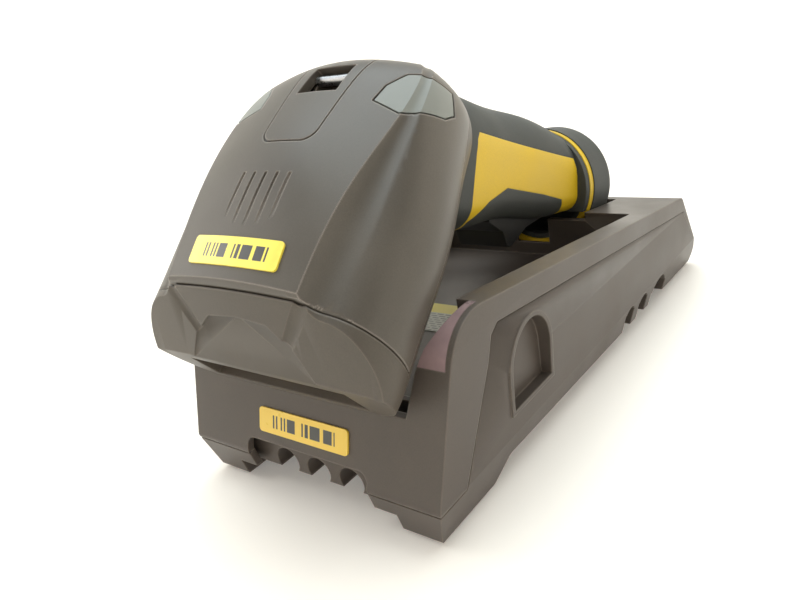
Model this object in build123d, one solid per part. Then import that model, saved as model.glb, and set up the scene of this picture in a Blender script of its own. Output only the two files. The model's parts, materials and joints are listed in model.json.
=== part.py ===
from build123d import *
import math
import os

# A handheld barcode scanner resting in its charging cradle.  Millimetres.
# X runs across the cradle, Y from its front to its back, Z up from the table.
# While it is modelled, Y is 0 at the front of the two front feet.  At the end every
# piece moves by the same amount, so that the origin is under the middle of the whole.

# ---- driving dimensions -------------------------------------------------------
WALL = 2.4               # moulded wall of every casing
FIT = 0.3                # gap between pieces that move past each other
PAD_HEIGHT = 1.2         # how far the rubber pads stand below the housing

# cradle
CRADLE_WIDTH = 101.2
CRADLE_LENGTH = 211.8
CRADLE_HEIGHT = 62.6     # height of the rim where it meets the leaning front
CRADLE_REAR_HEIGHT = 38.9
FRONT_LEAN = 17.0        # degrees that the front panel leans back
REAR_SLOPE = 40.0        # degrees that the back leans forward
UNDERSIDE_FRONT = 7.4    # height of the underside just behind the front feet
UNDERSIDE_REAR = 1.3     # height of the underside at the back
FOOT_LENGTH = 28.5
FOOT_WIDTH = 15.5
SEAM_DROP = 7.2          # the side seam runs this far under the rim
TROUGH_HALF_WIDTH = 42.5
TROUGH_END = 146.5       # Y of the trough's rear wall
TROUGH_FLOOR = 29.6      # height of the trough's floor at its front
TROUGH_FALL = 2.0        # degrees that the floor falls towards the back
PANEL_TOP = 36.0         # height of the low part of the front panel
CABLE_CHANNEL_R = 4.6
MOUTH_HALF_WIDTH = 24.0  # the cable mouth in the front panel, between the feet
MOUTH_TOP = 18.8
RIB_FRONT = 3.2          # Y where the ribs between the cable channels start
POCKET_DEPTH = 45.8      # the finger pockets end this far from the middle
SADDLE_HALF_WIDTH = 24.0
SADDLE_TOP = 40.8        # the trough's rear wall is cut down to here under the grip
CRADLE_SCREWS = [(-35.0, 52.0), (35.0, 52.0), (-35.0, 184.0), (35.0, 184.0)]
CRADLE_SPLIT = 16.0      # the cover's screw bosses meet the housing's at this height

# scanner head, measured along the scan axis from the lower lip of the nose
HEAD_TILT = 40.0         # degrees that the scan axis dips
HEAD_Y = -11.0
HEAD_Z = 52.1
HEAD_LENGTH = 91.0
SHELL_SPLIT = -8.0       # the underside shell meets the head shell at this height
NOSE_SEAM = 10.8         # where the nose bezel ends, on the scan axis
WINDOW_WIDTH = 60.0
WINDOW_HEIGHT = 12.0
WINDOW_MIDDLE = -10.4    # height of the scan window's middle
CREASE_DISH = 0.13       # depth of the dished strip between the creases, as a share of its width
GROOVE = 0.5             # width of the shadow gaps between neighbouring casings
GROOVE_DEPTH = 1.0
WINDOW_THICKNESS = 2.0

# scanner grip, measured from the middle of the yellow band
GRIP_TILT = 10.0         # degrees that the grip's end dips
GRIP_Y = 155.6
GRIP_Z = 51.6
BAND_RADIUS = 23.9
BAND_WIDTH = 3.2
COLLAR_WIDTH = 3.4
CAP_LENGTH = 21.5
CAP_RADIUS = 24.3
CAP_SCREW_X = 14.5
CAP_SCREW_Z = -5.0
BATTERY_WAY = 15.0       # radius of the hole that the battery slides in through
BATTERY_WAY_Z = 7.0
BATTERY_RADIUS = 8.0
BATTERY_LENGTH = 61.0
BATTERY_TILT = 13.0      # degrees that the battery rises towards the head, in the grip's frame

# trigger
TRIGGER_LENGTH = 44.0
TRIGGER_HALF_WIDTH = 10.5
TRIGGER_PIN_RADIUS = 1.5
PIN_RUNNING_GAP = 0.05
PLUNGER_RADIUS = 1.6
PLUNGER_BORE = 5.0
SWITCH_HEIGHT = 5.6

# charging contacts
CONTACT_PITCH = 5.0
CONTACT_COUNT = 4
CONTACT_RADIUS = 1.1
CONTACT_TRAVEL = 1.0
CONTACT_DEPTH = 2.7      # how far the contact pads lie inside the cap's round wall
PAD_THICKNESS = 0.8
BLOCK_HEIGHT = 10.0

# electronics
BOARD_THICKNESS = 1.6
BOARD_TOP = 3.8          # the main board's upper face, in the head's frame
HEAD_FLOOR = -18.2       # where the head screws start, in the head's frame
HEAD_SCREWS = [(-19.0, 32.0), (19.0, 32.0), (-19.0, 56.0), (19.0, 56.0)]

# fasteners and sockets
BOSS_RADIUS = 3.4
SCREW_RADIUS = 1.5
SCREW_HEAD_RADIUS = 2.8
SCREW_HEAD_HEIGHT = 2.0
BENCH_HOLE_RADIUS = 2.0
BENCH_SPACING_X = 60.0
BENCH_SPACING_Y = 90.0

UNDER_TILT = math.degrees(math.atan((UNDERSIDE_FRONT - UNDERSIDE_REAR) / (CRADLE_LENGTH - 36.0)))
FLOOR = Pos(0, 36.0, UNDERSIDE_FRONT) * Rot(X=-UNDER_TILT)      # lies along the underside
HEAD = Pos(0, HEAD_Y, HEAD_Z) * Rot(X=HEAD_TILT)
GRIP = Pos(0, GRIP_Y, GRIP_Z) * Rot(X=-GRIP_TILT)
PARTS = {}


def section_plane(station):
    """A plane across the local Y axis; its own x is X and its own y is local Z."""
    return Plane(origin=(0, station, 0), x_dir=(1, 0, 0), z_dir=(0, -1, 0))


def both_sides(piece):
    return Part() + [piece, mirror(piece, about=Plane.YZ)]


def bar(x_size, y_size, z_size, x=0.0, y=0.0, z=0.0):
    """A box that is placed by its centre."""
    return Pos(x, y, z) * Box(x_size, y_size, z_size)


def span(low, high):
    """A box from one corner to the opposite one."""
    size = [b - a for a, b in zip(low, high)]
    middle = [(a + b) / 2 for a, b in zip(low, high)]
    return Pos(*middle) * Box(*size)


def rod(radius, length, x=0.0, y=0.0, z=0.0, along="Z"):
    """A cylinder that is placed by its centre."""
    turn = {"X": Rot(Y=90), "Y": Rot(X=90), "Z": Rot()}[along]
    return Pos(x, y, z) * turn * Cylinder(radius, length)


# ---- scanner head ----------------------------------------------------------------
# station, top, inner crease (x, z), outer crease (x, z), widest (x, z), lower corner (x, z)
HEAD_STATIONS = [
    (-3.0, 17.0, (23.0, 15.8), (28.5, 11.5), (42.6, -1.2), (27.5, -19.0)),
    (14.0, 19.5, (24.5, 18.0), (31.0, 13.0), (44.0, -0.5), (29.5, -18.0)),
    (32.0, 21.5, (26.0, 19.4), (34.5, 13.5), (43.5, 0.0), (33.0, -17.5)),
    (52.0, 21.8, (29.0, 18.6), (35.0, 13.8), (41.5, 0.0), (33.0, -17.0)),
    (70.0, 19.6, (31.0, 15.6), (34.0, 12.8), (37.5, 0.0), (31.5, -16.5)),
    (84.0, 16.8, (28.5, 12.2), (30.5, 10.0), (33.0, -1.0), (29.5, -16.0)),
    (HEAD_LENGTH, 12.5, (22.0, 8.0), (24.0, 6.0), (26.5, -3.0), (24.0, -15.0)),
]


def head_section(station, inset):
    place, top, inner, outer, wide, low = station
    a = (inner[0] - 0.5 * inset, inner[1] - inset)
    b = (outer[0] - inset, outer[1] - 0.7 * inset)
    c = (wide[0] - inset, wide[1])
    d = (low[0] - inset, low[1] + inset)
    dish = CREASE_DISH * math.dist(a, b)
    turn = math.atan2(b[1] - a[1], b[0] - a[0])
    m = ((a[0] + b[0]) / 2 + dish * math.sin(turn), (a[1] + b[1]) / 2 - dish * math.cos(turn))
    edges = [
        ThreePointArc((-a[0], a[1]), (0, top - inset), a),
        ThreePointArc(a, m, b),
        ThreePointArc(b, c, d),
        Line(d, (-d[0], d[1])),
        ThreePointArc((-d[0], d[1]), (-c[0], c[1]), (-b[0], b[1])),
        ThreePointArc((-b[0], b[1]), (-m[0], m[1]), (-a[0], a[1])),
    ]
    return section_plane(place) * make_face(edges)


def head_form(inset):
    """The head's outer form, or its hollow when inset is the wall."""
    stations = list(HEAD_STATIONS)
    form = loft([head_section(station, inset) for station in stations])
    front = nose_front(inset)
    window_end = span((-80, inset, -60), (80, HEAD_LENGTH - inset, 60))
    return form & front & window_end


def nose_front(inset):
    """Everything behind the upright, slightly bowed front of the nose, in the head's frame."""
    bow = 500.0
    drum = Pos(0, HEAD_Y - 0.4 + inset + bow, HEAD_Z) * Cylinder(bow, 300)
    return HEAD.inverse() * drum


def nose_side():
    """The part of space that belongs to the nose bezel."""
    slab = Rot(X=-11) * span((-80, -80, -80), (80, 0, 80))
    return Pos(0, NOSE_SEAM, 0) * slab


def nose_valley():
    """A tapering valley that carries the strip between the creases down the nose."""
    high = Vector(27.0, HEAD_Y - 5.2, HEAD_Z + 23.4)
    low = Vector(15.0, HEAD_Y - 1.2, HEAD_Z + 6.0)
    middle = (high + low) * 0.5
    return Plane(origin=middle, z_dir=high - low) * Cone(1.6, 6.4, (high - low).length + 4.0)


def nose_scoop():
    """The shallow hollow in the middle of the nose, open towards its lower lip."""
    corners = [(-24.0, -1.0), (-19.0, 7.6), (-11.0, 14.0), (0, 15.0), (11.0, 14.0), (19.0, 7.6), (24.0, -1.0)]
    face = make_face(Polyline(*corners, close=True))
    return Pos(0, HEAD_Y + 0.75, HEAD_Z) * (Plane(origin=(0, 0, 0), x_dir=(1, 0, 0), z_dir=(0, -1, 0)) * extrude(face, amount=20))


def status_window_form(grow):
    """A seven-sided prism that crosses the head's right rear corner along its normal."""
    outline = [(71.5, 3.0), (77.0, 4.5), (82.0, 8.5), (84.5, 21.0), (77.5, 23.5), (74.0, 21.4), (68.0, 10.0)]
    plane = Plane(origin=(0, 0, 0), x_dir=(0, 1, 0), z_dir=(1, 0, 1))
    # the plane's own y points up along the corner, so distances down it are negative
    face = make_face(Polyline(*[(s, v * plane_sign(plane)) for s, v in outline], close=True))
    if grow:
        face = offset(face, amount=grow)
    return extrude(plane * face, amount=80)


def plane_sign(plane):
    """+1 when the plane's own y axis points out and down the side, else -1."""
    return 1.0 if plane.y_dir.X > 0 else -1.0


def hanger_form(inset):
    corners = [(-9.5 + inset, 57 + inset), (9.5 - inset, 57 + inset), (12 - inset, 95), (-12 + inset, 95)]
    face = make_face(FilletPolyline(*corners, radius=(4.5, 4.5, 1, 1), close=True))
    return extrude(Plane.XY * face, amount=60)


def build_head():
    outer = head_form(0)
    hollow = head_form(WALL)
    shell = outer - hollow
    nose = nose_side()
    lower = span((-80, -20, -80), (80, 200, SHELL_SPLIT))
    slot_count = 5
    slot_pitch = 4.3
    slots = [bar(1.0, 17, 1.2, x=(i - (slot_count - 1) / 2) * slot_pitch, y=38, z=21.95)
             for i in range(slot_count)]
    status = both_sides(status_window_form(0))
    plate_zone = hanger_form(0)
    hanger_depth = 7.0

    wiring_way = HEAD.inverse() * GRIP * grip_form(WALL)
    upper = shell - nose - lower - status - plate_zone - wiring_way
    skin = outer - head_form(GROOVE_DEPTH)
    upper -= skin & (hanger_form(-GROOVE) - plate_zone)
    upper -= skin & Pos(0, GROOVE, 0) * nose
    upper -= skin & both_sides(status_window_form(GROOVE))
    for slot in slots:
        upper -= slot
    posts = [rod(BOSS_RADIUS, 30, x=x, y=y, z=BOARD_TOP + 15) for x, y in HEAD_SCREWS]
    upper += (Part() + posts) & hollow
    holes = [rod(SCREW_RADIUS, 6.0, x=x, y=y, z=BOARD_TOP + 3.0) for x, y in HEAD_SCREWS]
    PARTS["head_shell"] = HEAD * biggest(upper - (Part() + holes))

    under = (shell & lower) - nose - status - wiring_way
    board_under = BOARD_TOP - BOARD_THICKNESS
    posts = [rod(BOSS_RADIUS, 30, x=x, y=y, z=board_under - 15) for x, y in HEAD_SCREWS]
    under += (Part() + posts) & hollow
    screws = [screw(BOARD_TOP + 6.0 - HEAD_FLOOR, x, y, HEAD_FLOOR) for x, y in HEAD_SCREWS]
    PARTS["head_underside"] = HEAD * biggest(under - (Part() + screws))
    PARTS["head_screws"] = HEAD * (Part() + screws)

    window_seat = bar(WINDOW_WIDTH, 30, WINDOW_HEIGHT, y=0, z=WINDOW_MIDDLE)
    bezel = (shell & nose) - window_seat
    PARTS["nose_bezel"] = biggest(HEAD * bezel - both_sides(nose_valley()) - nose_scoop())

    inside = head_form(WALL)
    window = bar(WINDOW_WIDTH + 4, WINDOW_THICKNESS, WINDOW_HEIGHT + 4, y=WALL + WINDOW_THICKNESS / 2,
                 z=WINDOW_MIDDLE)
    PARTS["scan_window"] = HEAD * (window & inside)

    PARTS["status_light_right"] = HEAD * biggest((shell & status_window_form(0)) - wiring_way)
    PARTS["status_light_left"] = mirror(PARTS["status_light_right"], about=Plane.YZ)

    plate = outer & plate_zone & span((-40, 50, -1), (40, HEAD_LENGTH + 1, 40))
    plate = plate - head_form(WALL + 0.6)
    mouth = bar(15, 11, 30, y=80.5, z=20)
    pocket = bar(17.4, 13.4, hanger_depth, y=80.5, z=18.8 - hanger_depth - 2.2)
    cup = pocket - bar(15, 11, hanger_depth, y=80.5, z=18.8 - hanger_depth - 0.8)
    PARTS["hanger_plate"] = HEAD * biggest((plate - mouth) + (cup & inside))
    PARTS["hanger_bar"] = HEAD * rod(1.5, 15, y=83.5, z=13.2, along="X")

    raised = head_form(-0.5)
    PARTS["head_badge"] = HEAD * ((raised - outer) & badge_block(33.4, 7.8, 23.4))


def badge_block(width, height, y):
    face = make_face(FilletPolyline((-width / 2, -height / 2), (width / 2, -height / 2),
                                    (width / 2, height / 2), (-width / 2, height / 2),
                                    radius=1.2, close=True))
    return Pos(0, y, 5) * extrude(face, amount=40)


def screw(length, x, y, z):
    """A screw that points up, with the underside of its thread end at z plus length."""
    head = rod(SCREW_HEAD_RADIUS, SCREW_HEAD_HEIGHT, x=x, y=y, z=z + SCREW_HEAD_HEIGHT / 2)
    return head + rod(SCREW_RADIUS, length, x=x, y=y, z=z + length / 2)


def biggest(shape):
    """The largest solid of a cut, without the slivers that a cut can leave."""
    return Part() + max(shape.solids(), key=lambda solid: solid.volume)


# ---- scanner grip -----------------------------------------------------------------
# distance in front of the band, top, shoulder height, half width, bottom, lower corner radius
GRIP_STATIONS = [
    (4.0, 24.6, 8.0, 20.0, -9.0, 7.0),
    (16.0, 28.6, 10.0, 18.2, -9.5, 8.0),
    (40.0, 33.2, 14.0, 17.6, -7.0, 8.5),
    (64.0, 38.0, 18.0, 18.4, -4.5, 8.5),
    (92.0, 42.5, 22.0, 20.0, -3.0, 8.5),
    (108.0, 38.0, 24.0, 20.0, 6.0, 7.0),
    (118.0, 34.0, 26.0, 19.0, 15.0, 6.0),
]


def grip_section(station, inset):
    distance, top, shoulder, half, bottom, corner = station
    b = half - inset
    low = bottom + inset
    r = corner - inset
    k = r * (1 - math.sqrt(0.5))
    edges = [
        ThreePointArc((-b, shoulder), (0, top - inset), (b, shoulder)),
        Line((b, shoulder), (b, low + r)),
        ThreePointArc((b, low + r), (b - k, low + k), (b - r, low)),
        Line((b - r, low), (-(b - r), low)),
        ThreePointArc((-(b - r), low), (-(b - k), low + k), (-b, low + r)),
        Line((-b, low + r), (-b, shoulder)),
    ]
    return section_plane(-distance) * make_face(edges)


def grip_form(inset):
    return loft([grip_section(station, inset) for station in GRIP_STATIONS])


def trigger_opening(gap):
    """The slot in the grip's finger side that the trigger works in."""
    half = TRIGGER_HALF_WIDTH + gap
    return span((-half, -15 - TRIGGER_LENGTH - gap, -40), (half, -15 + gap, 6))


TRIGGER_PIVOT = (-15 - TRIGGER_LENGTH + 3.5, 1.5)      # grip frame (y, z), under the head end


def build_grip():
    form = grip_form(0)
    hollow = grip_form(WALL)
    shell = form - hollow
    head_void = GRIP.inverse() * HEAD * head_form(0)
    spine_zone = Plane.YZ * make_face(Polyline(
        (-76.0, 26.5), (-6.0, 12.4), (-4.2, 0.0), (-4.2, -40), (10, -40), (10, 70), (-140, 70), (-140, -5),
        (-86.0, -5.0), (-78.0, 24.5), close=True))
    spine_space = extrude(spine_zone, amount=60, both=True)
    visible = shell - head_void
    spine = visible & spine_space
    surround_zone = extrude(Plane.YZ * make_face(Polyline(
        (-84.0, -1.5), (-72.0, 3.6), (-58.0, 6.6), (-30.0, 1.0), (-16.0, -2.6), (-13.5, -8.0), (-13.5, -40),
        (-84.0, -40), close=True)), amount=60, both=True)
    yellow = visible - spine_space - trigger_opening(FIT) - surround_zone
    surround = (visible - spine_space - trigger_opening(FIT)) & surround_zone
    right = span((0, -200, -80), (80, 60, 90))
    PARTS["grip_spine"] = GRIP * biggest(spine)
    PARTS["grip_shell_right"] = GRIP * biggest(yellow & right)
    PARTS["grip_shell_left"] = mirror(PARTS["grip_shell_right"], about=Plane.YZ)
    PARTS["trigger_surround"] = GRIP * surround

    half_band = BAND_WIDTH / 2
    bore = BAND_RADIUS - WALL
    collar = rod(BAND_RADIUS - 0.3, COLLAR_WIDTH, y=-half_band - COLLAR_WIDTH / 2, along="Y")
    collar &= span((-60, -60, -9.0), (60, 60, 60))
    collar -= rod(BATTERY_WAY, 40, z=BATTERY_WAY_Z, along="Y")
    collar -= shell
    for x in (-CAP_SCREW_X, CAP_SCREW_X):
        collar -= rod(SCREW_RADIUS, 40, x=x, z=CAP_SCREW_Z, along="Y")
    PARTS["grip_collar"] = GRIP * biggest(collar)
    band = rod(BAND_RADIUS, BAND_WIDTH, along="Y") - rod(bore, BAND_WIDTH + 2, along="Y")
    PARTS["grip_band"] = GRIP * band
    build_cap(half_band, bore)


def build_cap(half_band, bore):
    round_over = 7.0
    cap = rod(CAP_RADIUS, CAP_LENGTH, y=half_band + CAP_LENGTH / 2, along="Y")
    cap = fillet(cap.edges().sort_by(Axis.Y)[-1], round_over)
    inside = rod(CAP_RADIUS - WALL - 1.2, CAP_LENGTH - WALL, y=half_band + (CAP_LENGTH - WALL) / 2, along="Y")
    inside = fillet(inside.edges().sort_by(Axis.Y)[-1], round_over - WALL)
    flat_y = half_band + 8.5
    face = -CAP_RADIUS + CONTACT_DEPTH
    pocket_top = face + PAD_THICKNESS
    pocket_width = (CONTACT_COUNT + 0.3) * CONTACT_PITCH
    pocket = span((-pocket_width / 2, flat_y - 3.2, -40), (pocket_width / 2, flat_y + 3.2, pocket_top))
    seat = span((-pocket_width / 2 - 1.2, flat_y - 4.4, -40), (pocket_width / 2 + 1.2, flat_y + 4.4, pocket_top + 1.3))
    cap = (cap - inside) + (seat & rod(CAP_RADIUS - 0.1, 30, y=flat_y, along="Y")) - pocket
    PARTS["end_cap"] = GRIP * cap
    seal = rod(bore, 2.0, y=half_band - 1.0, along="Y") - rod(bore - 2.0, 6, y=half_band, along="Y")
    PARTS["cap_seal"] = GRIP * seal
    pads = [bar(2 * CONTACT_RADIUS + 1.4, 5.0, PAD_THICKNESS, x=(i - (CONTACT_COUNT - 1) / 2) * CONTACT_PITCH,
                y=flat_y, z=face + PAD_THICKNESS / 2) for i in range(CONTACT_COUNT)]
    PARTS["contact_pads"] = GRIP * (Part() + pads)
    screws = []
    end_y = half_band + CAP_LENGTH
    for x in (-CAP_SCREW_X, CAP_SCREW_X):
        head = rod(SCREW_HEAD_RADIUS, 1.4, x=x, y=end_y - 0.7, z=CAP_SCREW_Z, along="Y")
        shank = rod(SCREW_RADIUS, end_y + half_band + 2.2, x=x,
                    y=(end_y - half_band - 2.2) / 2, z=CAP_SCREW_Z, along="Y")
        screws.append(head + shank)
    PARTS["cap_screws"] = GRIP * (Part() + screws)
    PARTS["end_cap"] -= PARTS["cap_screws"]


def build_trigger():
    y0, z0 = TRIGGER_PIVOT
    half = TRIGGER_HALF_WIDTH
    outline = Plane.YZ * make_face(Polyline(
        (y0 - 3.0, z0 + 2.6), (y0 + 40.2, z0 - 4.6), (y0 + 39.4, z0 - 10.6), (y0 + 24.0, z0 - 13.0),
        (y0 + 13.0, z0 - 18.2), (y0 + 10.0, z0 - 18.4), (y0 + 6.5, z0 - 12.0), (y0 - 3.0, z0 - 7.0), close=True))
    body = extrude(outline, amount=half, both=True)
    hollow = Plane.YZ * make_face(Polyline(
        (y0 + 4.5, z0 + 8.0), (y0 + 36.0, z0 + 8.0), (y0 + 36.0, z0 - 8.2), (y0 + 28.0, z0 - 11.2),
        (y0 + 16.0, z0 - 11.4), (y0 + 7.0, z0 - 9.4), (y0 + 4.5, z0 - 7.5), close=True))
    body -= extrude(hollow, amount=half - 2.0, both=True)
    body -= rod(TRIGGER_PIN_RADIUS + PIN_RUNNING_GAP, 60, y=y0, z=z0, along="X")
    slot = bar(9.0, 7.4, 8.0, y=y0 - 0.6, z=z0)
    body -= slot
    PARTS["trigger"] = GRIP * body
    PARTS["trigger_pin"] = GRIP * rod(TRIGGER_PIN_RADIUS, 2 * (half + FIT) + 5.0, y=y0, z=z0, along="X")
    coil = rod(2.9, 8.0, y=y0, z=z0, along="X") - rod(TRIGGER_PIN_RADIUS, 12, y=y0, z=z0, along="X")
    PARTS["trigger_spring"] = GRIP * coil
    bosses = both_sides(bar(6.0, 9.0, 8.0, x=half + FIT + 3.0, y=y0 + 1.0, z=z0 + 1.0))
    bosses -= rod(TRIGGER_PIN_RADIUS, 60, y=y0, z=z0, along="X")
    inner = grip_form(WALL)
    PARTS["trigger_surround"] = Part() + [PARTS["trigger_surround"], GRIP * (bosses & inner)]

    switch_y = y0 + 23.0
    press_z = z0 - 11.2
    body_low = z0 - 0.2
    low_end = press_z + FIT
    high_end = body_low + PLUNGER_BORE - 2.3
    PARTS["switch_plunger"] = GRIP * rod(PLUNGER_RADIUS, high_end - low_end, y=switch_y, z=(low_end + high_end) / 2)
    case = span((-5, switch_y - 6.5, body_low), (5, switch_y + 6.5, body_low + SWITCH_HEIGHT))
    case -= rod(PLUNGER_RADIUS + PIN_RUNNING_GAP, PLUNGER_BORE, y=switch_y, z=body_low + PLUNGER_BORE / 2)
    PARTS["trigger_switch"] = GRIP * case
    top = body_low + SWITCH_HEIGHT
    bracket = span((-30, switch_y - 6, top), (30, switch_y + 6, top + 1.2)) & inner
    PARTS["switch_bracket"] = GRIP * bracket


def build_electronics():
    y_lens = 12.0
    board = bar(56, 1.6, 24, y=7.4, z=-5.5)
    board -= bar(20, 6, 14, y=7.4, z=-5.5)
    inside = head_form(WALL)
    PARTS["illumination_board"] = HEAD * (board & inside)
    leds = [bar(3.2, 1.4, 3.2, x=side * (14 + 5.2 * i), y=5.9, z=-5.5)
            for side in (-1, 1) for i in range(3)]
    PARTS["illumination_leds"] = HEAD * (Part() + leds)
    PARTS["lens_barrel"] = HEAD * (rod(6.5, 14, y=y_lens, z=-5.5, along="Y") - rod(5.0, 30, y=y_lens, z=-5.5, along="Y"))
    PARTS["lens_glass"] = HEAD * rod(5.0, 3.0, y=y_lens - 4.0, z=-5.5, along="Y")
    PARTS["image_sensor_board"] = HEAD * bar(30, 1.6, 17, y=y_lens + 7.8, z=-5.5)
    aimers = [rod(2.4, 9.0, x=side * 24, y=12.7, z=-5.5, along="Y") for side in (-1, 1)]
    PARTS["aimer_modules"] = HEAD * (Part() + aimers)
    frame = bar(60, 9.0, 22, y=y_lens + 0.7, z=-5.5) - bar(56, 20, 18, y=y_lens, z=-5.5)
    frame += bar(58, 1.4, 20, y=y_lens + 4.5, z=-5.5)
    frame -= rod(6.5, 40, y=y_lens, z=-5.5, along="Y")
    for side in (-1, 1):
        frame -= rod(2.4, 40, x=side * 24, y=y_lens, z=-5.5, along="Y")
    PARTS["engine_bracket"] = HEAD * (frame & inside)
    board = bar(50, 42, BOARD_THICKNESS, y=44, z=BOARD_TOP - BOARD_THICKNESS / 2) & inside
    for x, y in HEAD_SCREWS:
        board -= rod(SCREW_RADIUS, 40, x=x, y=y)
    PARTS["main_board"] = HEAD * board
    PARTS["beeper"] = HEAD * rod(6.0, 5.0, x=8, y=44, z=BOARD_TOP + 2.5)
    PARTS["radio_module"] = HEAD * bar(18, 12, 2.4, x=0, y=58, z=BOARD_TOP + 1.2)
    PARTS["processor_chip"] = HEAD * bar(13, 13, 1.6, x=-7, y=42, z=BOARD_TOP + 0.8)
    follow = GRIP * Pos(0, -5.0, 13.6) * Rot(X=-BATTERY_TILT)
    PARTS["battery_pack"] = follow * rod(BATTERY_RADIUS, BATTERY_LENGTH, y=-BATTERY_LENGTH / 2, along="Y")


# ---- cradle -------------------------------------------------------------------------
def rim_height(y):
    slope = (CRADLE_HEIGHT - CRADLE_REAR_HEIGHT) / (185.9 - 12.4)
    return CRADLE_HEIGHT - slope * (y - 12.4)


def under_height(y):
    slope = (UNDERSIDE_FRONT - UNDERSIDE_REAR) / (CRADLE_LENGTH - 36.0)
    return UNDERSIDE_FRONT - slope * (y - 36.0)


def screw_seat(y):
    """Height of a cradle screw's head, a little inside the sloping underside."""
    return under_height(y) + 0.7


def front_y(z):
    return -2.0 + (z - 15.5) * math.tan(math.radians(FRONT_LEAN))


def side_profile():
    rear_foot = CRADLE_LENGTH - 3.0
    corners = [
        (1.0, PAD_HEIGHT), (front_y(14), 14.0), (front_y(CRADLE_HEIGHT), CRADLE_HEIGHT),
        (185.9, CRADLE_REAR_HEIGHT), (CRADLE_LENGTH, 6.0), (rear_foot, under_height(rear_foot)),
        (36.0, UNDERSIDE_FRONT), (FOOT_LENGTH, PAD_HEIGHT),
    ]
    return make_face(FilletPolyline(*corners, radius=(1.0, 3.0, 15.0, 5.0, 6.0, 1.5, 3.0, 1.5), close=True))


def front_profile():
    top = CRADLE_WIDTH / 2
    waist = top - 2.2
    sole = top - 6.4
    return make_face(Polyline((-top, 80), (-top, 54), (-waist, 14), (-sole, 0), (-sole, -3),
                              (sole, -3), (sole, 0), (waist, 14), (top, 54), (top, 80), close=True))


def cradle_form(inset):
    side = side_profile()
    front = front_profile()
    if inset:
        side = offset(side, amount=-inset)
        front = offset(front, amount=-inset)
    long_form = extrude(Plane.YZ * side, amount=CRADLE_WIDTH, both=True)
    across = extrude(Plane(origin=(0, 300, 0), x_dir=(1, 0, 0), z_dir=(0, -1, 0)) * front, amount=600)
    return long_form & across


def lower_zone():
    """Everything that belongs to the lower housing: under the side seam, and the feet."""
    line = make_face(Polyline(
        (-20, 13.2), (10.0, 13.2), (25.6, 43.3), (28.0, 50.5), (31.5, rim_height(31.5) - SEAM_DROP),
        (188.0, rim_height(188.0) - SEAM_DROP + 0.6), (CRADLE_LENGTH - 2.0, 9.5), (CRADLE_LENGTH + 20, 7.0),
        (CRADLE_LENGTH + 20, -30), (-20, -30), close=True))
    return extrude(Plane.YZ * line, amount=CRADLE_WIDTH, both=True)


def trough_floor(y):
    return TROUGH_FLOOR - (y - 20) * math.tan(math.radians(TROUGH_FALL))


def trough_form(grow):
    """The hollow that the scanner lies in; grow thickens it into the hollow's own walls."""
    half = TROUGH_HALF_WIDTH + grow
    rear = TROUGH_END + grow
    start = 14.0 - grow
    line = make_face(Polyline((start, trough_floor(start) - grow), (rear, trough_floor(rear) - grow),
                              (rear, 120), (start, 120), close=True))
    return extrude(Plane.YZ * line, amount=half, both=True)


def head_gate():
    """The gap in the front wall that the head lies across, wider towards its top."""
    gate = make_face(Polyline((-37.0, PANEL_TOP), (37.0, PANEL_TOP), (39.6, 48), (42.0, 54), (48.6, 64), (48.6, 90),
                              (-48.6, 90), (-48.6, 64), (-42.0, 54), (-39.6, 48), close=True))
    return extrude(Plane(origin=(0, 26, 0), x_dir=(1, 0, 0), z_dir=(0, -1, 0)) * gate, amount=60)


def cap_well(grow):
    """The well behind the trough that holds the end of the grip."""
    radius = CAP_RADIUS + 1.2 + grow
    low = GRIP * rod(radius, CAP_LENGTH + 7.4 + 2 * grow, y=CAP_LENGTH / 2 - 0.4, along="Y")
    rise = Pos(0, GRIP_Y + 9.5, GRIP_Z + 40) * Box(2 * radius, CAP_LENGTH + 12.0 + 2 * grow, 90)
    top_half = span((-60, 100, GRIP_Z - 4), (60, 230, 130))
    return low + (rise & top_half)


def pocket_form(grow):
    """The arched finger pocket in the side wall, in plan on the YZ plane."""
    width = 11.6 + grow
    arch = Plane.YZ * (Pos(48.4, 33.0) * (Ellipse(width, 13.0 + grow) + Pos(0, -6.5) * Rectangle(2 * width, 13.0 + 2 * grow)))
    low = span((-200, 20, 22.0 - grow), (200, 80, 60))
    return extrude(arch, amount=80, both=True) & low


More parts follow.
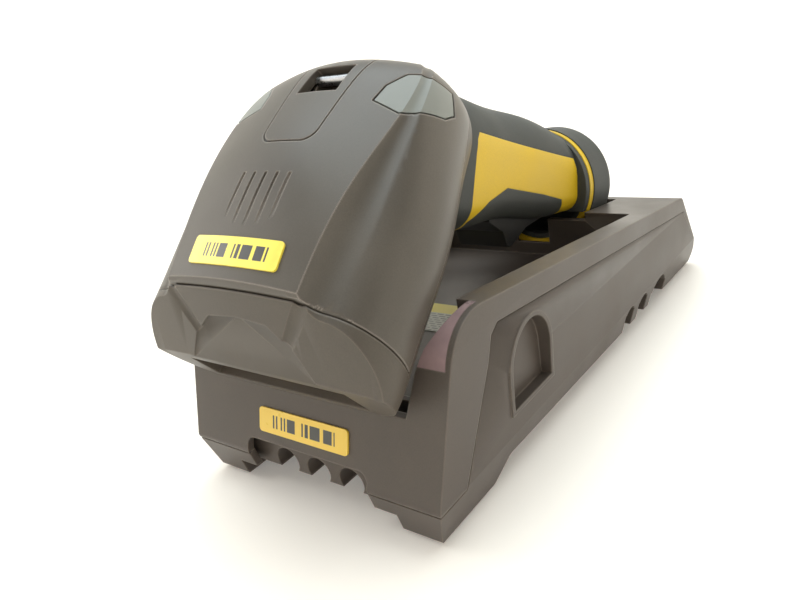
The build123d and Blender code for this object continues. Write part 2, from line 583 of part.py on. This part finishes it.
def build_cradle():
    outer = cradle_form(0)
    hollow = cradle_form(WALL)
    lower = lower_zone()
    trough = trough_form(0)
    lining = trough_form(WALL - 0.4)
    gate = head_gate()
    well = cap_well(0)
    well_lining = cap_well(WALL - 0.4)
    notch = span((-7.5, TROUGH_END - 6, 30.5), (7.5, TROUGH_END + 6, 90))
    notch += span((-SADDLE_HALF_WIDTH, TROUGH_END - 6, SADDLE_TOP), (SADDLE_HALF_WIDTH, TROUGH_END + 6, 90))

    guides = outer & both_sides(light_guide_zone())
    cover = outer - hollow - lower
    inner_block = outer - lower_keep_out()
    cover += (lining & inner_block) + (well_lining & inner_block)
    cover += (Part() + [rod(BOSS_RADIUS, 40, x=x, y=y, z=CRADLE_SPLIT + 20) for x, y in CRADLE_SCREWS]) & outer
    cover = cover - trough - well - gate - notch - guides - mouth_form()
    screws = [screw(CRADLE_SPLIT + 8 - screw_seat(y), x, y, screw_seat(y)) for x, y in CRADLE_SCREWS]
    block = charge_block_form(0)
    cover = cover - (Part() + screws) - block
    PARTS["cradle_screws"] = Part() + screws
    PARTS["top_cover"] = biggest(cover)
    right_guide = biggest((guides & span((0, -50, 0), (80, 80, 90))) - gate - trough)
    PARTS["light_guide_right"] = right_guide
    PARTS["light_guide_left"] = mirror(right_guide, about=Plane.YZ)

    housing = (outer & lower) - hollow
    housing -= lining
    housing -= well_lining
    between_feet = span((-CRADLE_WIDTH, -20, -20), (CRADLE_WIDTH, FOOT_LENGTH + 20, UNDERSIDE_FRONT))
    inner_foot = CRADLE_WIDTH / 2 - 6.4 - FOOT_WIDTH + 3.0
    between_feet &= span((-inner_foot, -20, -20), (inner_foot, 60, 40))
    housing = housing - between_feet - mouth_form()
    rib_block = span((-inner_foot, RIB_FRONT, UNDERSIDE_FRONT - 0.3), (inner_foot, 34, MOUTH_TOP + 0.6)) & outer
    channels = [rod(CABLE_CHANNEL_R, 60, x=i * 13.0, y=20, z=UNDERSIDE_FRONT + 2.4, along="Y") for i in (-1, 0, 1)]
    housing += rib_block
    for channel in channels:
        housing -= channel
    for y, half, top in ((129.0, 4.4, 13.6), (143.6, 4.7, 12.8), (162.4, 9.0, 12.8)):
        notch = span((-80, y - half, -10), (80, y + half, top - half / 2))
        notch += rod(half, 160, y=y, z=top - half, along="X")
        edge_only = span((38, 0, -10), (80, 220, 30))
        housing -= notch & both_sides(edge_only)
    arch = pocket_form(0)
    liner = (pocket_form(1.6) - pocket_form(0)) & outer & both_sides(span((POCKET_DEPTH - 1.2, 0, 0), (80, 100, 60)))
    back = pocket_form(1.6) & both_sides(span((POCKET_DEPTH - 1.2, 0, 0), (POCKET_DEPTH, 100, 60)))
    housing = (housing - (arch & both_sides(span((POCKET_DEPTH, 0, 0), (80, 100, 60))))) + liner + back
    ring = (pocket_form(1.5) - pocket_form(0)) & (cradle_form(-0.6) - outer)
    housing += ring & both_sides(span((40, 0, 0), (80, 100, 60)))
    housing -= (lower - Pos(0, 0.35, -GROOVE) * lower) - cradle_form(GROOVE_DEPTH)
    housing -= lining
    posts = [rod(BOSS_RADIUS, CRADLE_SPLIT, x=x, y=y, z=CRADLE_SPLIT / 2) for x, y in CRADLE_SCREWS]
    housing += (Part() + posts) & outer
    housing -= Part() + screws
    for x, y in CRADLE_SCREWS:
        housing -= rod(SCREW_HEAD_RADIUS + 0.3, 8, x=x, y=y, z=screw_seat(y) - 4)
    bench_z = under_height(105) + 4
    for x in (-1, 1):
        for y in (-1, 1):
            px = x * BENCH_SPACING_X / 2
            py = 105 + y * BENCH_SPACING_Y / 2
            post = rod(5.0, 9.0, x=px, y=py, z=under_height(py) + 4.6)
            housing += post & outer
            housing -= rod(BENCH_HOLE_RADIUS, 60, x=px, y=py, z=bench_z)
    PARTS["lower_housing"] = biggest(housing)
    build_cradle_fittings(outer)


def mouth_form():
    """The round-cornered cut in the front panel that cables come out of."""
    w = MOUTH_HALF_WIDTH
    face = make_face(FilletPolyline((-w, -20), (w, -20), (w, MOUTH_TOP), (-w, MOUTH_TOP), radius=3.0, close=True))
    return extrude(Plane(origin=(0, RIB_FRONT, 0), x_dir=(1, 0, 0), z_dir=(0, -1, 0)) * face, amount=30)


def lower_keep_out():
    """A shallow space over the floor that the linings do not fill."""
    return span((-80, -30, -30), (80, 260, 9.0))


def light_guide_zone():
    """The clear corner piece at the top of the front, on the +X side."""
    box = span((30, -20, 49.5), (CRADLE_WIDTH / 2 - 1.9, 26.0, 80))
    return Pos(0, 0, 0) * box


def build_cradle_fittings(outer):
    front = Pos(0, front_y(15.5), 15.5) * Rot(X=-FRONT_LEAN)
    badge = Rot(X=90) * badge_face(35.4, 7.6)
    PARTS["base_badge"] = front * Pos(0, 0.0, 10.6) * extrude(badge, amount=0.6)

    label_y = 74.0
    label = Rot(X=-TROUGH_FALL) * Box(62, 22, 0.3)
    PARTS["caution_label"] = Pos(0, label_y, trough_floor(label_y) + 0.17) * label

    PARTS["ballast_plate"] = FLOOR * span((-22, 34, WALL), (22, 106, WALL + 2.8))
    PARTS["base_board"] = FLOOR * span((-24, 34, WALL + 2.8), (24, 106, WALL + 4.4))
    build_contacts()
    pad = [rod(5.0, PAD_HEIGHT, x=x, y=FOOT_LENGTH / 2, z=PAD_HEIGHT / 2) for x in (-38, 38)]
    rear = [rod(5.0, 4.0, x=x, y=196.0, z=2.0) for x in (-34, 34)]
    PARTS["rubber_pads"] = Part() + pad + [piece - outer for piece in rear]
    socket = span((-6, 0, WALL), (6, 14, WALL + 10)) - rod(3.0, 12, y=5, z=WALL + 5, along="Y")
    pin = rod(0.8, 8, y=7, z=WALL + 5, along="Y")
    PARTS["power_socket"] = Pos(-13, 0, 0) * FLOOR * (socket + pin)
    jack = span((-7, 0, WALL), (7, 16, WALL + 12)) - span((-5.5, -6, WALL + 2), (5.5, 12, WALL + 9))
    PARTS["network_socket"] = Pos(13, 0, 0) * FLOOR * jack


def charge_block_form(grow):
    """The raised block in the well that carries the sprung pins, in the grip's tilt."""
    width = (CONTACT_COUNT + 0.3) * CONTACT_PITCH - 1.2 + grow
    top = -CAP_RADIUS + CONTACT_DEPTH - 1.0
    y = BAND_WIDTH / 2 + 8.5
    return GRIP * span((-width / 2, y - 2.7, top - BLOCK_HEIGHT), (width / 2, y + 2.7, top))


def build_contacts():
    y = BAND_WIDTH / 2 + 8.5
    block = charge_block_form(0)
    tip = -CAP_RADIUS + CONTACT_DEPTH - FIT
    top = -CAP_RADIUS + CONTACT_DEPTH - 1.0
    pins = []
    for i in range(CONTACT_COUNT):
        x = (i - (CONTACT_COUNT - 1) / 2) * CONTACT_PITCH
        pins.append(GRIP * rod(CONTACT_RADIUS, 6.5, x=x, y=y, z=tip - 3.25))
        block -= GRIP * rod(CONTACT_RADIUS + PIN_RUNNING_GAP, 7.3, x=x, y=y, z=top - 3.65)
    PARTS["charge_block"] = block
    PARTS["charge_pins"] = Part() + pins
    low = top - BLOCK_HEIGHT
    PARTS["charge_board"] = GRIP * span((-18, y - 8, low - 1.6), (18, y + 8, low))


def badge_face(width, height):
    return make_face(FilletPolyline((-width / 2, -height / 2), (width / 2, -height / 2),
                                    (width / 2, height / 2), (-width / 2, height / 2),
                                    radius=1.2, close=True))


def report_places(shift):
    """Print the joints' and mounts' places in the stored frame."""
    places = {
        "trigger pivot": GRIP * Pos(0, *TRIGGER_PIVOT),
        "pad underside": Pos(38, FOOT_LENGTH / 2, 0),
        "bench holes": Pos(0, 105, under_height(105)),
        "power socket": FLOOR * Pos(-13, 0, WALL + 5),
        "network socket": FLOOR * Pos(13, 0, WALL + 5.5),
        "hanger bar": HEAD * Pos(0, 83.5, 13.2),
        "shift": Pos(0, 0, 0),
    }
    for name, place in places.items():
        spot = (shift * place).position
        print(f"{name}: {spot.X:.3f} {spot.Y:.3f} {spot.Z:.3f}")


def main():
    build_head()
    build_grip()
    build_trigger()
    build_electronics()
    build_cradle()
    os.makedirs("parts", exist_ok=True)
    whole = Compound(children=[Part() + piece for piece in PARTS.values()])
    box = whole.bounding_box()
    shift = Pos(0, -(box.min.Y + box.max.Y) / 2, 0)
    for name, piece in PARTS.items():
        export_step(shift * piece, f"parts/{name}.step")
    report_places(shift)


main()
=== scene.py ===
# %% [markdown]
# A hand-held barcode scanner lying in its charging cradle. The engineering solids come first, and
# everything in this lesson is built around them: a camera, light and finishes. All lengths are metres.

# %% Load the solids and keep their outer box
import json
import math

import bmesh
import bpy
from mathutils import Matrix, Vector


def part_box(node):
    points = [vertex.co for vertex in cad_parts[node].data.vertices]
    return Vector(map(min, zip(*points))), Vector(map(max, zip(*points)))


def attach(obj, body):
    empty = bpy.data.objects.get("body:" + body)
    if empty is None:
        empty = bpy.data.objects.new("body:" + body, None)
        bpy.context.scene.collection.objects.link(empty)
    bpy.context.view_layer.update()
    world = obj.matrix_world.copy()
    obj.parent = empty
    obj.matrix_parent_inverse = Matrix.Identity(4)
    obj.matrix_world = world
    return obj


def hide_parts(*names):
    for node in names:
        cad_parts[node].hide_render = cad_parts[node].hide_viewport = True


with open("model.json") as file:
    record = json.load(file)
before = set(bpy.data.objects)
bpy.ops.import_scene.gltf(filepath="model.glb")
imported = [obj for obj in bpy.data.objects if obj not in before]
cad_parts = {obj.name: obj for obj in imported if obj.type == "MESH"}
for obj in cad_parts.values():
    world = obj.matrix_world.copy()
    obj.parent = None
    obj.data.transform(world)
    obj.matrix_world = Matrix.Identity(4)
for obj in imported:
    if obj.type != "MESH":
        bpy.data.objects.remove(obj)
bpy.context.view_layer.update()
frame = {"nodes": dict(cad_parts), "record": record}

MM = 0.001
NODES = frame["nodes"]
BODIES = frame["record"]["behaviour"]["bodies"]
BODY_OF = {node: body for body, nodes in BODIES.items() for node in nodes}

# %% [markdown]
# The camera stands close to the nose and a little to the right, tilted a few degrees as a hand
# holds it. A short distance with a moderate lens gives the strong perspective of a close view:
# the nose looks large and the far end of the cradle looks small.

# %% Camera
camera_data = bpy.data.cameras.new("camera")
camera_data.lens = 32.85
camera_data.sensor_width = 36.0
camera_data.clip_start = 0.005
camera = bpy.data.objects.new("camera", camera_data)
camera.location = (0.14483, -0.21515, 0.13331)
camera.rotation_euler = [math.radians(a) for a in (67.753, 9.578, 36.650)]
bpy.context.scene.collection.objects.link(camera)
bpy.context.scene.camera = camera
bpy.context.scene.view_settings.view_transform = "Standard"
print("camera:", tuple(camera.location))

# %% [markdown]
# Colours are written as the usual sRGB hex values. Shaders work with linear light, so one
# function does the change. A second small function adds a shader node with its settings and its
# links, which keeps every finish below short enough to read.

# %% Helpers for finishes
def linear(code):
    """A linear RGBA colour from an sRGB hex value such as '#E0B020'."""
    values = [int(code[i:i + 2], 16) / 255 for i in (1, 3, 5)]
    return [v / 12.92 if v <= 0.04045 else ((v + 0.055) / 1.055) ** 2.4 for v in values] + [1.0]


def add(tree, kind, settings=None, links=None):
    """Adds a node, sets its properties and input values, and links its inputs from outputs."""
    node = tree.nodes.new(kind)
    for key, value in (settings or {}).items():
        if isinstance(key, str) and hasattr(node, key):
            setattr(node, key, value)
        else:
            node.inputs[key].default_value = value
    for key, output in (links or {}).items():
        tree.links.new(output, node.inputs[key])
    return node


def new_material(name):
    material = bpy.data.materials.new(name)
    material.use_nodes = True
    material.node_tree.nodes.clear()
    return material, material.node_tree


def close(tree, shader):
    add(tree, "ShaderNodeOutputMaterial", links={"Surface": shader.outputs[0]})

# %% [markdown]
# The shells are injection-moulded ABS. The steel mould is spark-eroded, so the plastic carries a
# fine even grain and reads as satin. Where two faces meet the colour is painted paler: partly the
# polish of handling, partly a painted highlight along the creases. The Bevel node finds those edges:
# its normal turns away from the face's own normal near a corner. The real grain is about 0.1 mm.
# It is drawn three to four times as coarse so that it shows.

# %% Moulded ABS
EDGE_RADIUS = 0.7 * MM
MOULDED_IOR = 1.53


def moulded_abs(name, colour, pale, roughness, grain_mm, grain_depth, edge=0.5, cloud_mm=25.0, spread=0.08,
                gloss=0.32):
    """Satin moulded plastic: fine grain, faint clouding, edges painted paler as wear and as a highlight.
    Sizes are in mm.
    """
    material, tree = new_material(name)
    place = add(tree, "ShaderNodeTexCoord").outputs["Object"]
    cloud = add(tree, "ShaderNodeTexNoise", {"Scale": 1 / (cloud_mm * MM), "Detail": 4.0}, {"Vector": place})
    grain = add(tree, "ShaderNodeTexNoise", {"Scale": 1 / (grain_mm * MM), "Detail": 2.0}, {"Vector": place})
    tone = add(tree, "ShaderNodeMapRange",
               {"From Min": 0.35, "From Max": 0.65, "To Min": 1 - spread, "To Max": 1 + spread},
               {"Value": cloud.outputs[0]})
    speck = add(tree, "ShaderNodeMapRange",
                {"From Min": 0.3, "From Max": 0.7, "To Min": 0.94, "To Max": 1.06},
                {"Value": grain.outputs[0]})
    level = add(tree, "ShaderNodeMath", {"operation": "MULTIPLY"},
                {0: tone.outputs[0], 1: speck.outputs[0]})
    base = add(tree, "ShaderNodeVectorMath", {"operation": "SCALE", 0: linear(colour)[:3]},
               {"Scale": level.outputs[0]})
    rounded = add(tree, "ShaderNodeBevel", {"samples": 4, "Radius": EDGE_RADIUS})
    facing = add(tree, "ShaderNodeNewGeometry")
    match = add(tree, "ShaderNodeVectorMath", {"operation": "DOT_PRODUCT"},
                {0: rounded.outputs[0], 1: facing.outputs["Normal"]})
    # Paler edges: partly handling wear, partly a painted highlight along the creases.
    worn_and_highlit_edge = add(tree, "ShaderNodeMapRange",
              {"From Min": 0.998, "From Max": 0.93, "To Min": 0.0, "To Max": edge},
              {"Value": match.outputs["Value"]})
    paint = add(tree, "ShaderNodeMix", {"data_type": "RGBA", 7: linear(pale)},
                {0: worn_and_highlit_edge.outputs[0], 6: base.outputs[0]})
    rough = add(tree, "ShaderNodeMapRange",
                {"From Min": 0.3, "From Max": 0.7, "To Min": roughness - 0.07, "To Max": roughness + 0.07},
                {"Value": cloud.outputs[0]})
    bump = add(tree, "ShaderNodeBump", {"Strength": 0.5, "Distance": grain_depth * MM},
               {"Height": grain.outputs[0], "Normal": rounded.outputs[0]})
    shader = add(tree, "ShaderNodeBsdfPrincipled", {"IOR": MOULDED_IOR, "Specular IOR Level": gloss},
                 {"Base Color": paint.outputs[2], "Roughness": rough.outputs[0], "Normal": bump.outputs[0]})
    close(tree, shader)
    return material


# The second colour of each finish is its paler edge: partly wear, partly a painted highlight.
head_abs = moulded_abs("satin_charcoal_abs", "#544E47", "#ADA299", 0.38, 0.35, 0.03, edge=0.6)
cradle_abs = moulded_abs("cradle_charcoal_abs", "#4F4741", "#857A70", 0.40, 0.35, 0.03, edge=0.6)
dark_abs = moulded_abs("grained_dark_abs", "#504941", "#80766C", 0.44, 0.45, 0.04)
yellow_abs = moulded_abs("yellow_moulded_abs", "#D2AE18", "#DFC248", 0.45, 0.40, 0.02, edge=0.3, spread=0.03)
inner_black = moulded_abs("black_inner_plastic", "#242424", "#4A4A48", 0.45, 0.4, 0.02)
print("moulded finishes ready")

# %% [markdown]
# The grip's spine and end cap are overmoulded rubber: darker, duller, with a soft edge. Its grain
# is coarser than the shells'.

# %% Overmoulded rubber
# The paler second colour marks the edges as wear and as a painted highlight.
black_rubber = moulded_abs("overmoulded_rubber", "#3A3C3A", "#575957", 0.60, 0.55, 0.05, edge=0.35,
                           cloud_mm=18.0)
pad_rubber = moulded_abs("foot_rubber", "#1E1E1E", "#333333", 0.75, 0.6, 0.05, edge=0.2)

# %% [markdown]
# Small metal, glass, film and board finishes. Each starts from a typical value for the real
# material and carries a little unevenness so that no surface is one flat tone.

# %% Other finishes
def simple(name, colour, roughness, metallic=0.0, scale_mm=2.0, spread=0.12, bump_mm=0.01, fixed=None):
    """A small part's finish: noise varies its tone and roughness."""
    material, tree = new_material(name)
    place = add(tree, "ShaderNodeTexCoord").outputs["Object"]
    noise = add(tree, "ShaderNodeTexNoise", {"Scale": 1 / (scale_mm * MM), "Detail": 3.0}, {"Vector": place})
    level = add(tree, "ShaderNodeMapRange",
                {"From Min": 0.3, "From Max": 0.7, "To Min": 1 - spread, "To Max": 1 + spread},
                {"Value": noise.outputs[0]})
    base = add(tree, "ShaderNodeVectorMath", {"operation": "SCALE", 0: linear(colour)[:3]},
               {"Scale": level.outputs[0]})
    rough = add(tree, "ShaderNodeMapRange",
                {"From Min": 0.3, "From Max": 0.7,
                 "To Min": max(roughness - 0.08, 0.02), "To Max": roughness + 0.08},
                {"Value": noise.outputs[0]})
    bump = add(tree, "ShaderNodeBump", {"Strength": 0.4, "Distance": bump_mm * MM},
               {"Height": noise.outputs[0]})
    settings = {"Metallic": metallic}
    settings.update(fixed or {})
    shader = add(tree, "ShaderNodeBsdfPrincipled", settings,
                 {"Base Color": base.outputs[0], "Roughness": rough.outputs[0], "Normal": bump.outputs[0]})
    close(tree, shader)
    return material


# Plated steel: a cool metal with soft, slightly uneven reflections.
zinc_steel = simple("zinc_plated_steel", "#B9BABC", 0.32, 1.0, 0.8, 0.10)
# Thin gold over nickel: warm, and a little sharper than the screws.
gold_contact = simple("gold_plated_contact", "#E0B565", 0.25, 1.0, 0.6, 0.08)
# Printed lacquer on a glass-fibre board: deep green and half glossy.
solder_mask = simple("green_solder_mask", "#14532D", 0.30, 0.0, 1.2, 0.18)
# Moulded epoxy: near black and matte.
chip_epoxy = simple("black_epoxy", "#1B1B1D", 0.5, 0.0, 0.8, 0.15)
# Heat-shrunk film: glossy, with faint broad ripples of tone.
battery_wrap = simple("blue_shrink_wrap", "#2B4C8C", 0.25, 0.0, 3.0, 0.08)
# Clear resin over pale phosphor: a small bright bead.
led_resin = simple("pale_led_resin", "#E9E4CF", 0.2, 0.0, 0.6, 0.06)
# Red filter acrylic with a hard coat: nearly black until it mirrors a light.
window_glass = simple("dark_red_window", "#2A0A0D", 0.06, 0.0, 6.0, 0.10,
                      fixed={"Coat Weight": 0.5, "Coat Roughness": 0.03})
# Acrylic moulded in a blasted tool: it scatters light, so it reads as one soft grey.
frosted = simple("frosted_window_acrylic", "#7C7E79", 0.38, 0.0, 7.0, 0.05, bump_mm=0.0,
                 fixed={"IOR": 1.49, "Specular IOR Level": 0.3})
# Polished acrylic over a dark shell: partly see-through, with sharp highlights.
clear_guide = simple("clear_light_guide", "#B79A9B", 0.10, 0.0, 5.0, 0.10, bump_mm=0.0,
                     fixed={"Transmission Weight": 0.45, "IOR": 1.49, "Coat Weight": 0.8,
                            "Coat Roughness": 0.03})
print("small finishes ready")

# %% [markdown]
# The two badges are printed film under a clear domed resin. A maker would print a name there; this
# set carries a plain row of ink bars like a bar code, which says what the tool is for. The pattern
# is worked out on the film's own plane: the coordinates are turned by the film's tilt and moved to
# its middle. A step of white noise for each bar's width decides whether that bar is inked. The
# label in the trough has rows of short dashes, made by a brick pattern.

# %% Printed films
def film_place(tree, node, tilt_degrees):
    """Object coordinates turned and moved so that X and Y run across and up the film, in metres."""
    low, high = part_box(node)
    turn = Matrix.Rotation(math.radians(-tilt_degrees), 3, "X")
    shift = -(turn @ ((low + high) / 2))
    place = add(tree, "ShaderNodeTexCoord").outputs["Object"]
    moved = add(tree, "ShaderNodeMapping",
                {"Location": shift, "Rotation": (math.radians(-tilt_degrees), 0, 0)}, {"Vector": place})
    return add(tree, "ShaderNodeSeparateXYZ", None, {"Vector": moved.outputs[0]})


def within(tree, output, half):
    """1 where the output lies within half either side of zero."""
    size = add(tree, "ShaderNodeMath", {"operation": "ABSOLUTE"}, {0: output})
    return add(tree, "ShaderNodeMath", {"operation": "LESS_THAN", 1: half}, {0: size.outputs[0]}).outputs[0]


def both(tree, first, second):
    return add(tree, "ShaderNodeMath", {"operation": "MULTIPLY"}, {0: first, 1: second}).outputs[0]


INK = "#1B1A14"
WORN_YELLOW = "#D9A92C"
BARE_SHARE = 0.42        # share of the bars that stay yellow


def badge_finish(name, node, tilt_degrees, colour, half_width_mm, half_height_mm, bar_mm):
    """Dark bars on a yellow film. The film is a little deeper in tone where it has aged."""
    material, tree = new_material(name)
    axes = film_place(tree, node, tilt_degrees)
    cell = add(tree, "ShaderNodeMath", {"operation": "DIVIDE", 1: bar_mm * MM}, {0: axes.outputs["X"]})
    step = add(tree, "ShaderNodeMath", {"operation": "FLOOR"}, {0: cell.outputs[0]})
    chance = add(tree, "ShaderNodeTexWhiteNoise", {"noise_dimensions": "1D"}, {"W": step.outputs[0]})
    inked = add(tree, "ShaderNodeMath", {"operation": "GREATER_THAN", 1: BARE_SHARE},
                {0: chance.outputs["Value"]})
    field = both(tree, within(tree, axes.outputs["X"], half_width_mm * MM),
                 within(tree, axes.outputs["Y"], half_height_mm * MM))
    ink = both(tree, inked.outputs[0], field)
    own = add(tree, "ShaderNodeTexCoord").outputs["Object"]
    cloud = add(tree, "ShaderNodeTexNoise", {"Scale": 220.0}, {"Vector": own})
    age = add(tree, "ShaderNodeMapRange", {"From Min": 0.45, "From Max": 0.9, "To Max": 0.35},
              {"Value": cloud.outputs[0]})
    tone = add(tree, "ShaderNodeMix", {"data_type": "RGBA", 6: linear(colour), 7: linear(WORN_YELLOW)},
               {0: age.outputs[0]})
    print_mix = add(tree, "ShaderNodeMix", {"data_type": "RGBA", 7: linear(INK)},
                    {0: ink, 6: tone.outputs[2]})
    rough = add(tree, "ShaderNodeMapRange", {"To Min": 0.24, "To Max": 0.36}, {"Value": cloud.outputs[0]})
    shader = add(tree, "ShaderNodeBsdfPrincipled", {"Coat Weight": 0.5, "Coat Roughness": 0.08},
                 {"Base Color": print_mix.outputs[2], "Roughness": rough.outputs[0]})
    close(tree, shader)
    return material


DASH_LENGTH = 3.4 * MM
ROW_PITCH = 1.6 * MM
DASH_GAP = 0.45 * MM
BAND_START = 3.5 * MM    # from the label's middle to its yellow band


def label_finish(name, node, tilt_degrees):
    """A pale label with a yellow band along its front edge and rows of short grey dashes."""
    material, tree = new_material(name)
    axes = film_place(tree, node, tilt_degrees)
    spot = add(tree, "ShaderNodeCombineXYZ", None, {"X": axes.outputs["X"], "Y": axes.outputs["Y"]})
    dash = add(tree, "ShaderNodeTexBrick",
               {"Scale": 1.0, "Brick Width": DASH_LENGTH, "Row Height": ROW_PITCH, "Mortar Size": DASH_GAP,
                "Color1": linear("#5E5D55"), "Color2": linear("#7B7A70"), "Mortar": linear("#A6A396")},
               {"Vector": spot.outputs[0]})
    band = add(tree, "ShaderNodeMath", {"operation": "GREATER_THAN", 1: BAND_START}, {0: axes.outputs["Y"]})
    paint = add(tree, "ShaderNodeMix", {"data_type": "RGBA", 7: linear("#C6B451")},
                {0: band.outputs[0], 6: dash.outputs["Color"]})
    shader = add(tree, "ShaderNodeBsdfPrincipled", {"Roughness": 0.4}, {"Base Color": paint.outputs[2]})
    close(tree, shader)
    return material


head_badge_film = badge_finish("head_badge_film", "head_badge", 40.0, "#F2DC4C", 12.5, 1.9, 0.62)
base_badge_film = badge_finish("base_badge_film", "base_badge", 73.0, "#E3BE3C", 13.0, 2.0, 0.66)
label_film = label_finish("trough_label_film", "caution_label", -2.0)
print("printed films ready")

# %% [markdown]
# Each solid gets one finish. A table of finish to nodes is easier to check than one line for
# each, and a node that is missing from it stops the script.

# %% Give each solid its finish
FINISHES = {
    head_abs: ["head_shell", "hanger_plate"],
    cradle_abs: ["top_cover", "lower_housing"],
    dark_abs: ["head_underside", "nose_bezel", "engine_bracket", "switch_bracket", "charge_block"],
    black_rubber: ["grip_spine", "end_cap", "grip_collar", "cap_seal", "trigger_surround"],
    pad_rubber: ["rubber_pads"],
    yellow_abs: ["grip_shell_left", "grip_shell_right", "grip_band"],
    head_badge_film: ["head_badge"],
    base_badge_film: ["base_badge"],
    label_film: ["caution_label"],
    clear_guide: ["light_guide_left", "light_guide_right"],
    frosted: ["status_light_left", "status_light_right"],
    window_glass: ["scan_window", "lens_glass"],
    inner_black: ["trigger", "switch_plunger", "lens_barrel", "trigger_switch", "aimer_modules", "beeper",
                  "network_socket", "power_socket"],
    zinc_steel: ["head_screws", "cap_screws", "cradle_screws", "trigger_pin", "trigger_spring", "hanger_bar",
                 "ballast_plate"],
    gold_contact: ["contact_pads", "charge_pins"],
    solder_mask: ["illumination_board", "image_sensor_board", "main_board", "base_board", "charge_board"],
    chip_epoxy: ["processor_chip", "radio_module"],
    led_resin: ["illumination_leds"],
    battery_wrap: ["battery_pack"],
}
FINISH_OF = {node: finish for finish, nodes in FINISHES.items() for node in nodes}
for node, obj in NODES.items():
    obj.data.materials.clear()
    obj.data.materials.append(FINISH_OF[node])
print("finished solids:", len(NODES))

# %% [markdown]
# The outer shells come out of the drawing program as loose triangles. A copy with its points
# merged can be shaded smoothly between its creases. The finishes above round the creases in
# their shading, so they catch the light as a moulded edge does, and also paint them paler, partly
# as wear and partly as a painted highlight.

# %% Smooth, soft-edged copies of the outer shells
MERGE_GAP = 0.004 * MM
SLIVER = 0.002 * MM


def merged_copy(node, name):
    """The solid's mesh with its doubled points joined and its slivers removed."""
    mesh = bpy.data.meshes.new(name)
    form = bmesh.new()
    form.from_mesh(NODES[node].data)
    bmesh.ops.remove_doubles(form, verts=form.verts, dist=MERGE_GAP)
    bmesh.ops.dissolve_degenerate(form, edges=form.edges, dist=SLIVER)
    form.to_mesh(mesh)
    form.free()
    return mesh


def finished_shell(node, crease_degrees=13.0):
    """A copy of a solid, merged and shaded smooth between its creases, in place of the solid."""
    name = node + "_shell" if not node.endswith("shell") else node + "_skin"
    mesh = merged_copy(node, name)
    for face in mesh.polygons:
        face.use_smooth = True
    mesh.set_sharp_from_angle(angle=math.radians(crease_degrees))
    piece = bpy.data.objects.new(name, mesh)
    bpy.context.scene.collection.objects.link(piece)
    mesh.materials.append(FINISH_OF[node])
    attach(piece, BODY_OF[node])
    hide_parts(node)
    return piece


SHELLS = ["head_shell", "head_underside", "nose_bezel", "hanger_plate", "top_cover", "lower_housing",
          "grip_spine", "grip_shell_left", "grip_shell_right", "grip_collar", "grip_band", "end_cap",
          "cap_seal", "trigger", "trigger_surround", "status_light_left", "status_light_right",
          "light_guide_left", "light_guide_right", "head_badge", "base_badge", "rubber_pads",
          "scan_window"]
for node in SHELLS:
    piece = finished_shell(node)
    print(piece.name, len(piece.data.polygons))

# %% [markdown]
# The set stands on a round sheet of matte paper that curves up into a low wall all round, as in a
# product studio. There is no horizon from any side, and the wall sends soft light back on the
# sides of the object. One curved line, spun a full turn, makes the whole sheet.

# %% Floor and light
def sweep_floor(flat=1.7, curve=0.8, wall=1.7, steps=24):
    """A disc that curves up at its rim, spun from half of its outline."""
    form = bmesh.new()
    outline = [(0.0, 0.0), (flat * 0.5, 0.0)]
    for i in range(steps + 1):
        turn = math.radians(90 * i / steps)
        outline.append((flat + curve * math.sin(turn), curve * (1 - math.cos(turn))))
    outline.append((flat + curve, wall))
    points = [form.verts.new((x, 0.0, z)) for x, z in outline]
    edges = [form.edges.new(pair) for pair in zip(points, points[1:])]
    bmesh.ops.spin(form, geom=points + edges, cent=(0, 0, 0), axis=(0, 0, 1), angle=math.tau, steps=96,
                   use_merge=True)
    bmesh.ops.remove_doubles(form, verts=form.verts, dist=0.0001)
    bmesh.ops.recalc_face_normals(form, faces=form.faces)
    if min(form.faces, key=lambda face: face.calc_center_median().length).normal.z < 0:
        bmesh.ops.reverse_faces(form, faces=form.faces)
    mesh = bpy.data.meshes.new("sweep")
    form.to_mesh(mesh)
    form.free()
    for face in mesh.polygons:
        face.use_smooth = True
    sheet = bpy.data.objects.new("sweep", mesh)
    bpy.context.scene.collection.objects.link(sheet)
    return sheet


floor = sweep_floor()
paper, paper_tree = new_material("matte_paper")
paper_shader = add(paper_tree, "ShaderNodeBsdfPrincipled", 
                   {"Base Color": linear("#F4ECE2"), "Roughness": 0.9, "Emission Color": linear("#FFFFFF"),
                    "Emission Strength": 0.15})
close(paper_tree, paper_shader)
floor.data.materials.append(paper)


def soft_light(name, place, target, size, power, colour="#FFFFFF"):
    """A rectangular light that faces its target. Power is in watts."""
    data = bpy.data.lights.new(name, "AREA")
    data.shape = "RECTANGLE"
    data.size, data.size_y = size
    data.energy = power
    data.color = linear(colour)[:3]
    lamp = bpy.data.objects.new(name, data)
    lamp.location = place
    lamp.rotation_euler = (Vector(target) - Vector(place)).to_track_quat("-Z", "Y").to_euler()
    bpy.context.scene.collection.objects.link(lamp)


soft_light("ceiling", (-0.3, 0.5, 2.4), (0, 0.2, 0), (3.0, 3.0), 112, "#EAF5F8")
soft_light("left_window", (-1.3, -0.5, 0.9), (0, 0, 0.05), (0.9, 0.9), 5)
soft_light("right_rear", (1.3, 0.9, 0.5), (0, 0, 0.05), (0.7, 0.7), 0.6, "#FFE6D2")
world = bpy.data.worlds.new("room")
world.use_nodes = True
room_light = world.node_tree.nodes["Background"]
room_light.inputs["Color"].default_value = linear("#F6E8DA")
room_light.inputs["Strength"].default_value = 0.08
bpy.context.scene.world = world
print("floor and lights ready")
